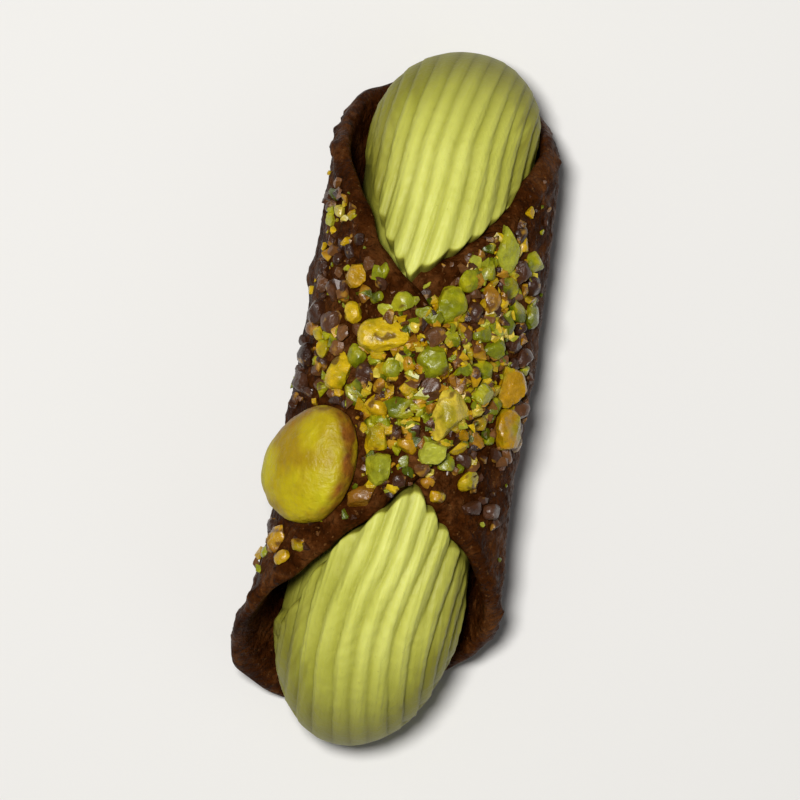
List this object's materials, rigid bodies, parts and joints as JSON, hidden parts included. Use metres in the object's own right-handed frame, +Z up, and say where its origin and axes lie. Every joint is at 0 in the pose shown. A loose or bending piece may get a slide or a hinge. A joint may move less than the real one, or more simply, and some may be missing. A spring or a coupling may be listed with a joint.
{
  "type": "cannoli",
  "caption": "Cannolo: chocolate-coated wafer tube lapped on top, filled with ridged pistachio cream and strewn with chopped pistachio",
  "frame": {"origin": "middle of the small flat spot on which the roll rests", "axes": "+Z up, +Y along the roll towards the end that points to the top of the picture, +X to the right seen from above"},
  "size_m": [0.0299, 0.0808, 0.0297],
  "materials": {
    "coating": "dark chocolate coating over a crisp wafer, satin, with chopped pistachio stuck in it",
    "cream": "pale yellow-green piped cream, soft sheen",
    "pistachio": "shelled pistachio kernel, yellow with brown skin at the rim"
  },
  "bodies": {
    "root": {"shell": "coating", "cream": "cream", "kernel": "pistachio"}
  },
  "joints": []
}
